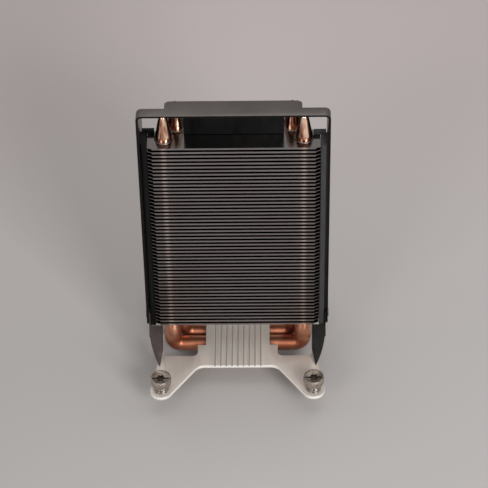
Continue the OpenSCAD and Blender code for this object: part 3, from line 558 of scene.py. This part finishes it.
# ---------- baffle and edge strips ----------
# Thin moulded strips that keep the air between the fins: one folded sheet under the
# shroud's tongue and one strip at each side, hooked over the top fin.


def moulded(name, dark, light):
    """Dull moulded plastic with flow marks drawn out along Z."""
    made, tree, shader, place = material(name)
    shader.inputs["Specular IOR Level"].default_value = 0.16
    flow = noise(tree, place, 400, (1, 1, 0.3), 4)
    tree.links.new(ramp(tree, flow, [(0.3, dark), (0.7, light)]), shader.inputs["Base Color"])
    tree.links.new(spread(tree, flow, 0.42, 0.62), shader.inputs["Roughness"])
    bump(tree, shader, flow, 0.2, 0.00005)
    return made


black_plastic = moulded("black_plastic", (0.002, 0.0022, 0.0024), (0.005, 0.0055, 0.006))
# The right strip wears a lighter copy of the black plastic as painted light; the left strip keeps the
# black as its shade.
grey_plastic = moulded("grey_plastic", (0.04, 0.041, 0.042), (0.055, 0.056, 0.057))
softened("top_baffle", 0.0002).data.materials.append(black_plastic)
softened("left_edge_strip", 0.0002).data.materials.append(black_plastic)
softened("right_edge_strip", 0.0002).data.materials.append(grey_plastic)

# ---------- rivets and fan screws ----------
# Blackened steel rivets hold the fan plate and legs in the shroud; four blackened
# self-cutting screws hold the fan on its plate.

blackened_steel, tree, shader, place = material("blackened_steel", 1.0)
spots = noise(tree, place, 600, (1, 1, 1), 3)
tree.links.new(ramp(tree, spots, [(0.3, (0.09, 0.088, 0.085)), (0.7, (0.2, 0.195, 0.19))]),
               shader.inputs["Base Color"])
tree.links.new(spread(tree, spots, 0.32, 0.5), shader.inputs["Roughness"])
softened("shroud_rivets", 0.00018, 3).data.materials.append(blackened_steel)
softened("fan_screws", 0.0003, 3).data.materials.append(blackened_steel)

# ---------- fan frame and motor ----------
# The moulded frame carries a motor plate on four struts. On its tube sit two sintered
# bearings, the green circuit board, and the four-pole stator with a coil on each pole.

fan_plastic, tree, shader, place = material("fan_plastic")
fibre = noise(tree, place, 900, (1, 1, 1), 4)
tree.links.new(ramp(tree, fibre, [(0.3, (0.014, 0.014, 0.015)), (0.7, (0.026, 0.026, 0.028))]),
               shader.inputs["Base Color"])
tree.links.new(spread(tree, fibre, 0.4, 0.55), shader.inputs["Roughness"])
bump(tree, shader, fibre, 0.2, 0.00004)
softened("fan_frame", 0.0003).data.materials.append(fan_plastic)


def bare_metal(name, dark, light, smooth, rough, grain, stretch=(1, 1, 1)):
    """A plain metal whose colour and roughness both follow one grain, drawn out by stretch."""
    made, tree, shader, place = material(name, 1.0)
    marks = noise(tree, place, grain, stretch, 4)
    tree.links.new(ramp(tree, marks, [(0.3, dark), (0.7, light)]), shader.inputs["Base Color"])
    tree.links.new(spread(tree, marks, smooth, rough), shader.inputs["Roughness"])
    bump(tree, shader, marks, 0.25, 0.00003)
    return made


sintered_bronze = bare_metal("sintered_bronze", (0.4, 0.24, 0.1), (0.6, 0.4, 0.2), 0.4, 0.6, 2500)
stamped_steel = bare_metal("stamped_steel", (0.3, 0.3, 0.31), (0.45, 0.45, 0.46), 0.3, 0.45, 900,
                           (0.1, 3, 0.1))
drawn_steel = bare_metal("drawn_steel", (0.4, 0.4, 0.41), (0.52, 0.52, 0.53), 0.25, 0.4, 1200,
                         (1, 0.05, 1))
softened("fan_bearings", 0.0001).data.materials.append(sintered_bronze)
softened("fan_stator_core", 0.0001).data.materials.append(stamped_steel)
softened("fan_yoke_ring", 0.0001).data.materials.append(stamped_steel)
softened("fan_shaft", 0.0001).data.materials.append(drawn_steel)

ferrite, tree, shader, place = material("ferrite", roughness=0.6)
grit = noise(tree, place, 1800, (1, 1, 1), 4)
tree.links.new(ramp(tree, grit, [(0.3, (0.03, 0.03, 0.032)), (0.7, (0.07, 0.07, 0.072))]),
               shader.inputs["Base Color"])
bump(tree, shader, grit, 0.3, 0.00004)
softened("fan_magnet_ring", 0.0001).data.materials.append(ferrite)

nylon, tree, shader, place = material("nylon", roughness=0.45)
milk = noise(tree, place, 700, (1, 1, 1), 3)
tree.links.new(ramp(tree, milk, [(0.3, (0.6, 0.58, 0.52)), (0.7, (0.72, 0.7, 0.64))]),
               shader.inputs["Base Color"])
shader.inputs["Subsurface Weight"].default_value = 0.1
softened("fan_shaft_clip", 0.00005).data.materials.append(nylon)

board_rear_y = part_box("fan_circuit_board")[1].y
board_thickness = 0.0008
green_board, tree, shader, place = material("green_board", coat=0.4)
weave = noise(tree, place, 1500, (1, 1, 1), 3)
lacquer = ramp(tree, weave, [(0.3, (0.01, 0.09, 0.04)), (0.7, (0.02, 0.15, 0.07))])
on_chip = spread(tree, axis_of(tree, place, "Y"), 1, 0,
                 (board_rear_y - board_thickness - 0.0001, board_rear_y - board_thickness))
tree.links.new(blended(tree, on_chip, lacquer, (0.012, 0.012, 0.013)), shader.inputs["Base Color"])
tree.links.new(spread(tree, weave, 0.3, 0.45), shader.inputs["Roughness"])
bump(tree, shader, weave, 0.2, 0.00003)
softened("fan_circuit_board", 0.0001).data.materials.append(green_board)

enamelled_wire, tree, shader, place = material("enamelled_wire", 1.0, coat=0.5)
enamel = noise(tree, place, 1500, (1, 1, 1), 3)
tree.links.new(ramp(tree, enamel, [(0.3, (0.5, 0.17, 0.06)), (0.7, (0.68, 0.27, 0.11))]),
               shader.inputs["Base Color"])
tree.links.new(spread(tree, enamel, 0.2, 0.34), shader.inputs["Roughness"])

fan_z = (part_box("fan_rotor")[0].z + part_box("fan_rotor")[1].z) / 2
coil_low, coil_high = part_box("fan_windings")
coil_y = (coil_low.y + coil_high.y) / 2
wire_radius = 0.00021
coil_turns = 9
coil_half_width = 0.0015
coil_half_depth = 0.00127
corner_power = 0.45
steps_a_turn = 28


def coil(angle):
    """The skin of one winding. Its wire runs round a box with rounded corners, whose two half
    sizes go with cos t and sin t raised to the corner power, while it moves out along the pole."""
    turn = np.linspace(0, 2 * np.pi * coil_turns, coil_turns * steps_a_turn + 1)
    outer = coil_high.x - wire_radius
    inner = outer - 2 * wire_radius * coil_turns
    reach = np.linspace(inner, outer, len(turn))
    across = coil_half_width * np.sign(np.cos(turn)) * np.abs(np.cos(turn)) ** corner_power
    deep = coil_half_depth * np.sign(np.sin(turn)) * np.abs(np.sin(turn)) ** corner_power
    x = reach * np.cos(angle) - across * np.sin(angle)
    z = reach * np.sin(angle) + across * np.cos(angle)
    centre = np.stack([x, coil_y + deep, fan_z + z], 1)
    return skin(swept(centre, wire_radius, (np.cos(angle), 0, np.sin(angle)), 8))


piece = mesh_object("fan_coils", *together([coil(k * np.pi / 2) for k in range(4)]))
piece.data.materials.append(enamelled_wire)
stand_for(piece, "fan_windings")

# A plain foil disc seals the bearing tube, and a low rim runs round the frame's opening.
frame_rear = (0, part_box("fan_frame")[1].y, fan_z)
opening_radius = 0.0384
seal_radius = 0.0125
seal_thickness = 0.00012
foil = bare_metal("foil", (0.3, 0.3, 0.305), (0.42, 0.42, 0.425), 0.3, 0.42, 1400, (1, 1, 0.05))
seal = [(0, 0), (seal_radius, 0), (seal_radius, seal_thickness), (0, seal_thickness)]
piece = mesh_object("fan_seal", *skin(turned(seal, frame_rear, (0, 1, 0), 72), closed=True))
piece.data.materials.append(foil)
go_with(piece, "fan_frame")
rim = [(opening_radius, -0.0002), (opening_radius + 0.0012, -0.0002), (opening_radius + 0.0011, 0.0003),
       (opening_radius + 0.0009, 0.0004), (opening_radius + 0.0003, 0.0004), (opening_radius, 0.0002)]
piece = mesh_object("fan_rim", *skin(turned(rim, frame_rear, (0, 1, 0), 144), closed=True))
piece.data.materials.append(fan_plastic)
go_with(piece, "fan_frame")

# ---------- fan rotor ----------
# The moulded hub is a cup that holds the steel yoke and the magnet ring; seven cambered and
# twisted blades stand on its rim. Hub and blades are one moulding on the steel shaft.

rotor_low, rotor_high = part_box("fan_rotor")
hub_radius = 0.016
hub_wall = 0.0011
hub_depth = rotor_high.y - rotor_low.y
shaft_hole = 0.0012
cup = [(shaft_hole, 0), (0.006, 0), (0.0063, 0.00025), (0.0118, 0.00025), (0.0121, 0),
       (hub_radius - 0.0016, 0), (hub_radius - 0.0008, 0.0002), (hub_radius - 0.0002, 0.0008),
       (hub_radius, 0.0016), (hub_radius, hub_depth), (hub_radius - hub_wall, hub_depth),
       (hub_radius - hub_wall, hub_wall), (0.0034, hub_wall), (shaft_hole, hub_wall)]
blade_count = 7
blade_root = hub_radius - 0.0004
blade_reach = 0.0373
root_span = 36
span_growth = 5
forward_lean = 10
root_depth = 0.0056
depth_loss = 0.0012
camber = 0.00045
half_thickness = 0.00042


def blade(angle):
    """A skin through airfoil sections from root to tip. At share s of the span the chord spans
    an angle that grows with s and leans forward. Height falls from front to rear along the
    chord, with a camber of sin(pi c) and a thickness of sin t, for c = (1 - cos t) / 2. Both
    are drawn in at the tip by high powers of s, which rounds the blade's corners."""
    s = np.linspace(0, 1, 26)[:, None]
    t = np.linspace(0, 2 * np.pi, 36, endpoint=False)[None, :]
    chord = (1 - np.cos(t)) / 2
    radius = blade_root + (blade_reach - blade_root) * s
    span = np.radians(root_span + span_growth * s)
    lean = np.radians(forward_lean) * s ** 1.6
    depth = (root_depth - depth_loss * s) * (1 - 0.25 * s ** 8)
    swing = angle + lean + (chord - 0.5) * span * (1 - 0.1 * s ** 10)
    height = (0.5 - chord) * depth - camber * np.sin(np.pi * chord)
    height = height + half_thickness * np.sin(t) * (1 - 0.4 * s)
    y = (rotor_low.y + rotor_high.y) / 2 + height
    rings = np.stack([radius * np.cos(swing), y, fan_z + radius * np.sin(swing)], -1)
    return skin(rings)


hub_centre = (0, rotor_low.y, fan_z)
blades = [blade(2 * np.pi * k / blade_count) for k in range(blade_count)]
piece = mesh_object("fan_impeller", *together([skin(turned(cup, hub_centre, (0, 1, 0), 96), closed=True)]
                                              + blades))
piece.data.materials.append(fan_plastic)
stand_for(piece, "fan_rotor")
crease = piece.modifiers.new("crease", "EDGE_SPLIT")
crease.split_angle = math.radians(35)

# ---------- captive screws ----------
# Nickel-plated steel screws with a dished head, a star recess and a slot across it. Each has
# a washer, a coil spring and a clip below the mounting plate that keeps it in its hole.

head_low, head_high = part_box("screw_front_right")
half_pitch = (head_low.x + head_high.x) / 2
rim_height = 0.0008
recess_top = head_high.z - rim_height
recess_depth = 0.0014
recess_reach = 0.0041


def in_recess(tree, place):
    """1 in the recess of a head and 0 elsewhere: a band of height times a disc about each
    screw. The disc's distance is the length of (|x|, |y|) less half the pitch."""
    height = spread(tree, axis_of(tree, place, "Z"), 0, 1, (recess_top - recess_depth, recess_top))
    band = ramp(tree, height, [(0, (0, 0, 0)), (0.05, (1, 1, 1)), (0.7, (1, 1, 1)), (1, (0, 0, 0))])
    folded = tree.nodes.new("ShaderNodeVectorMath")
    folded.operation = "ABSOLUTE"
    tree.links.new(place, folded.inputs[0])
    moved = tree.nodes.new("ShaderNodeVectorMath")
    moved.operation = "MULTIPLY_ADD"
    moved.inputs[1].default_value = (1, 1, 0)
    moved.inputs[2].default_value = (-half_pitch, -half_pitch, 0)
    tree.links.new(folded.outputs["Vector"], moved.inputs[0])
    distance = tree.nodes.new("ShaderNodeVectorMath")
    distance.operation = "LENGTH"
    tree.links.new(moved.outputs["Vector"], distance.inputs[0])
    inside = spread(tree, distance.outputs["Value"], 1, 0, (recess_reach, recess_reach + 0.0002))
    return blended(tree, inside, (0, 0, 0), band)


nickel, tree, shader, place = material("nickel", 1.0)
wear = noise(tree, place, 500, (1, 1, 1), 4)
grime = noise(tree, place, 1600, (1, 1, 1), 3)
plated = ramp(tree, wear, [(0.3, (0.42, 0.36, 0.31)), (0.7, (0.6, 0.53, 0.47))])
# The star recess is painted dark as shade.
recess_painted_shade = blended(tree, in_recess(tree, place), plated, (0.11, 0.088, 0.072))
tree.links.new(blended(tree, spread(tree, grime, 0, 0.6, (0.5, 0.75)), recess_painted_shade, (0.16, 0.12, 0.1)),
               shader.inputs["Base Color"])
tree.links.new(spread(tree, wear, 0.24, 0.42), shader.inputs["Roughness"])
bump(tree, shader, wear, 0.15, 0.00003)

spring_wire = bare_metal("spring_wire", (0.4, 0.37, 0.34), (0.58, 0.54, 0.5), 0.2, 0.34, 1500,
                         (1, 1, 0.2))
spring_wire_radius = 0.00035
spring_radius = 0.0033
spring_turns = 4.4
closed_share = 0.16
knurl_teeth = 44
knurl_top = 0.0007
knurl_bottom = 0.0033
knurl_height = 0.0002
thread_radius = 0.0015
thread_pitch = 0.0005
thread_turns = 3.2
thread_height = 0.00014


def spring(corner):
    """A wire on a helix that lies flat over the closed share of its turns at each end. Between
    them it rises evenly from one seat to the other."""
    low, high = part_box("spring_" + corner)
    middle = ((low.x + high.x) / 2, (low.y + high.y) / 2)
    share = np.linspace(0, 1, 160)
    eased = np.clip((share - closed_share) / (1 - 2 * closed_share), 0, 1)
    angle = 2 * np.pi * spring_turns * share
    z = low.z + spring_wire_radius + (high.z - low.z - 2 * spring_wire_radius) * eased
    centre = np.stack([middle[0] + spring_radius * np.cos(angle),
                       middle[1] + spring_radius * np.sin(angle), z], 1)
    piece = mesh_object("coil_spring_" + corner, *skin(swept(centre, spring_wire_radius, (0, 0, 1), 10)))
    piece.data.materials.append(spring_wire)
    stand_for(piece, "spring_" + corner)
    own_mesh(piece)


def knurl(corner):
    """Straight teeth rolled round the head, as a closed band whose inner side is hidden in it:
    the radius of each ring rises and falls as the cosine of the tooth count times the angle,
    and the teeth fade at the band's two edges."""
    low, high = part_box("screw_" + corner)
    middle = ((low.x + high.x) / 2, (low.y + high.y) / 2)
    head_radius = (high.x - low.x) / 2
    z = np.linspace(high.z - knurl_bottom, high.z - knurl_top, 7)
    fade = np.sin(np.pi * np.linspace(0, 1, 7)) ** 0.4
    angle = np.linspace(0, 2 * np.pi, knurl_teeth * 8, endpoint=False)
    tooth = 0.5 + 0.5 * np.cos(knurl_teeth * angle)
    radius = head_radius - 0.00004 + knurl_height * fade[:, None] * tooth[None, :]
    radius = np.vstack([radius, np.full((2, len(angle)), head_radius - 0.0003)])
    z = np.concatenate([z, z[[-1, 0]]])
    rings = np.stack([middle[0] + radius * np.cos(angle), middle[1] + radius * np.sin(angle),
                      np.broadcast_to(z[:, None], radius.shape)], -1)
    piece = mesh_object("head_knurl_" + corner, *skin(rings, closed=True))
    piece.data.materials.append(nickel)
    go_with(piece, "screw_" + corner)


def thread(corner):
    """A fine round ridge wound on the plain end of the screw, one turn for each pitch. It
    grows to its full height over the first radian and fades over the last one."""
    low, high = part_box("screw_" + corner)
    middle = ((low.x + high.x) / 2, (low.y + high.y) / 2)
    angle = np.linspace(0, 2 * np.pi * thread_turns, 120)
    z = low.z + 0.0004 + thread_pitch * angle / (2 * np.pi)
    centre = np.stack([middle[0] + thread_radius * np.cos(angle),
                       middle[1] + thread_radius * np.sin(angle), z], 1)
    taper = thread_height * np.clip(np.minimum(angle, angle[::-1]), 0.1, 1)
    piece = mesh_object("screw_thread_" + corner, *skin(swept(centre, taper, (0, 0, 1), 8)))
    piece.data.materials.append(nickel)
    go_with(piece, "screw_" + corner)


for corner in ("front_left", "front_right", "rear_left", "rear_right"):
    softened("screw_" + corner, 0.0001, flats=False).data.materials.append(nickel)
    softened("washer_" + corner, 0.0001).data.materials.append(nickel)
    softened("clip_" + corner, 0.0001).data.materials.append(nickel)
    spring(corner)
    knurl(corner)
    thread(corner)
